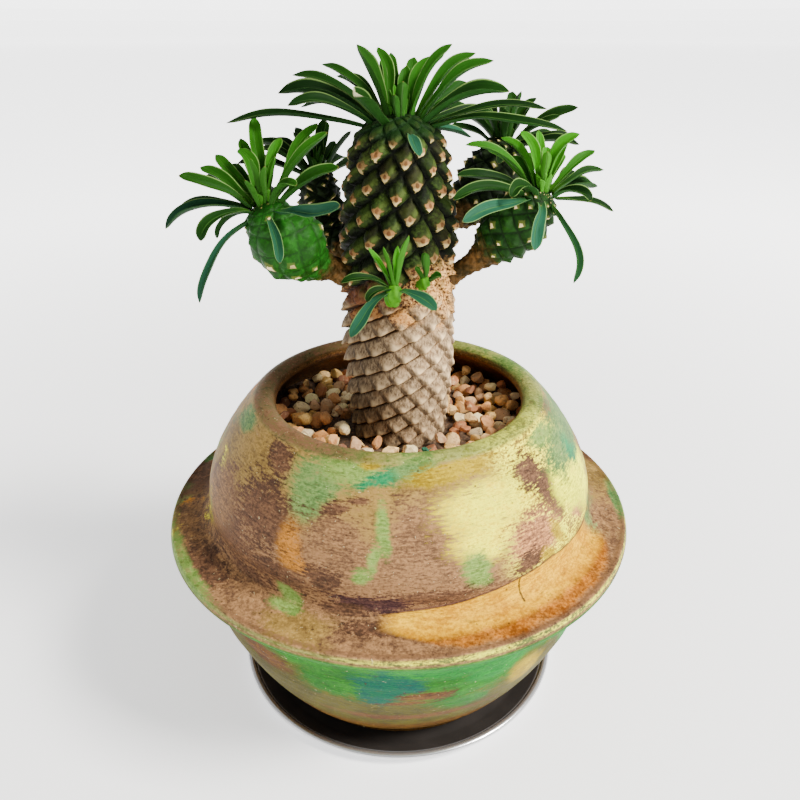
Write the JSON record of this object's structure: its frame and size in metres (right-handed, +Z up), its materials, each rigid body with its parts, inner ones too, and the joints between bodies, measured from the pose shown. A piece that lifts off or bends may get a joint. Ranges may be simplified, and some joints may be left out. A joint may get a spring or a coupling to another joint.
{
  "type": "potted euphorbia",
  "caption": "Scaly-stemmed succulent with strap-leaf heads on short side branches, in gravel in a round flanged glazed pot on a low steel saucer.",
  "frame": {"origin": "centre of the saucer's flat underside", "axes": "+Z up along the pot's axis, -Y towards the front, where the small sprout stands, +X to the right"},
  "size_m": [0.197, 0.197, 0.265],
  "materials": {
    "steel": "dark brushed steel with a bright rolled rim",
    "glaze": "satin mottled glaze, olive, green, mauve-brown and amber",
    "soil": "dark potting soil with bark",
    "gravel": "matte cream, tan and rust stones",
    "bark": "grey-tan corky scales below, dark green tubercles with cream scars above",
    "branch_skin": "satin green tubercled skin with cream scars",
    "leaf": "satin dark green leaves with a pale midrib",
    "young_leaf": "satin yellow-green young leaves"
  },
  "bodies": {
    "root": {"saucer": "steel", "pot": "glaze", "soil": "soil", "gravel": "gravel", "stem": "bark", "branch_left": "branch_skin", "branch_right": "branch_skin", "branch_back_left": "branch_skin", "branch_back_right": "branch_skin", "crown": "leaf", "leaves_left": "leaf", "leaves_right": "leaf", "leaves_back_left": "leaf", "leaves_back_right": "leaf", "sprout": "young_leaf", "bud": "young_leaf"}
  },
  "joints": []
}
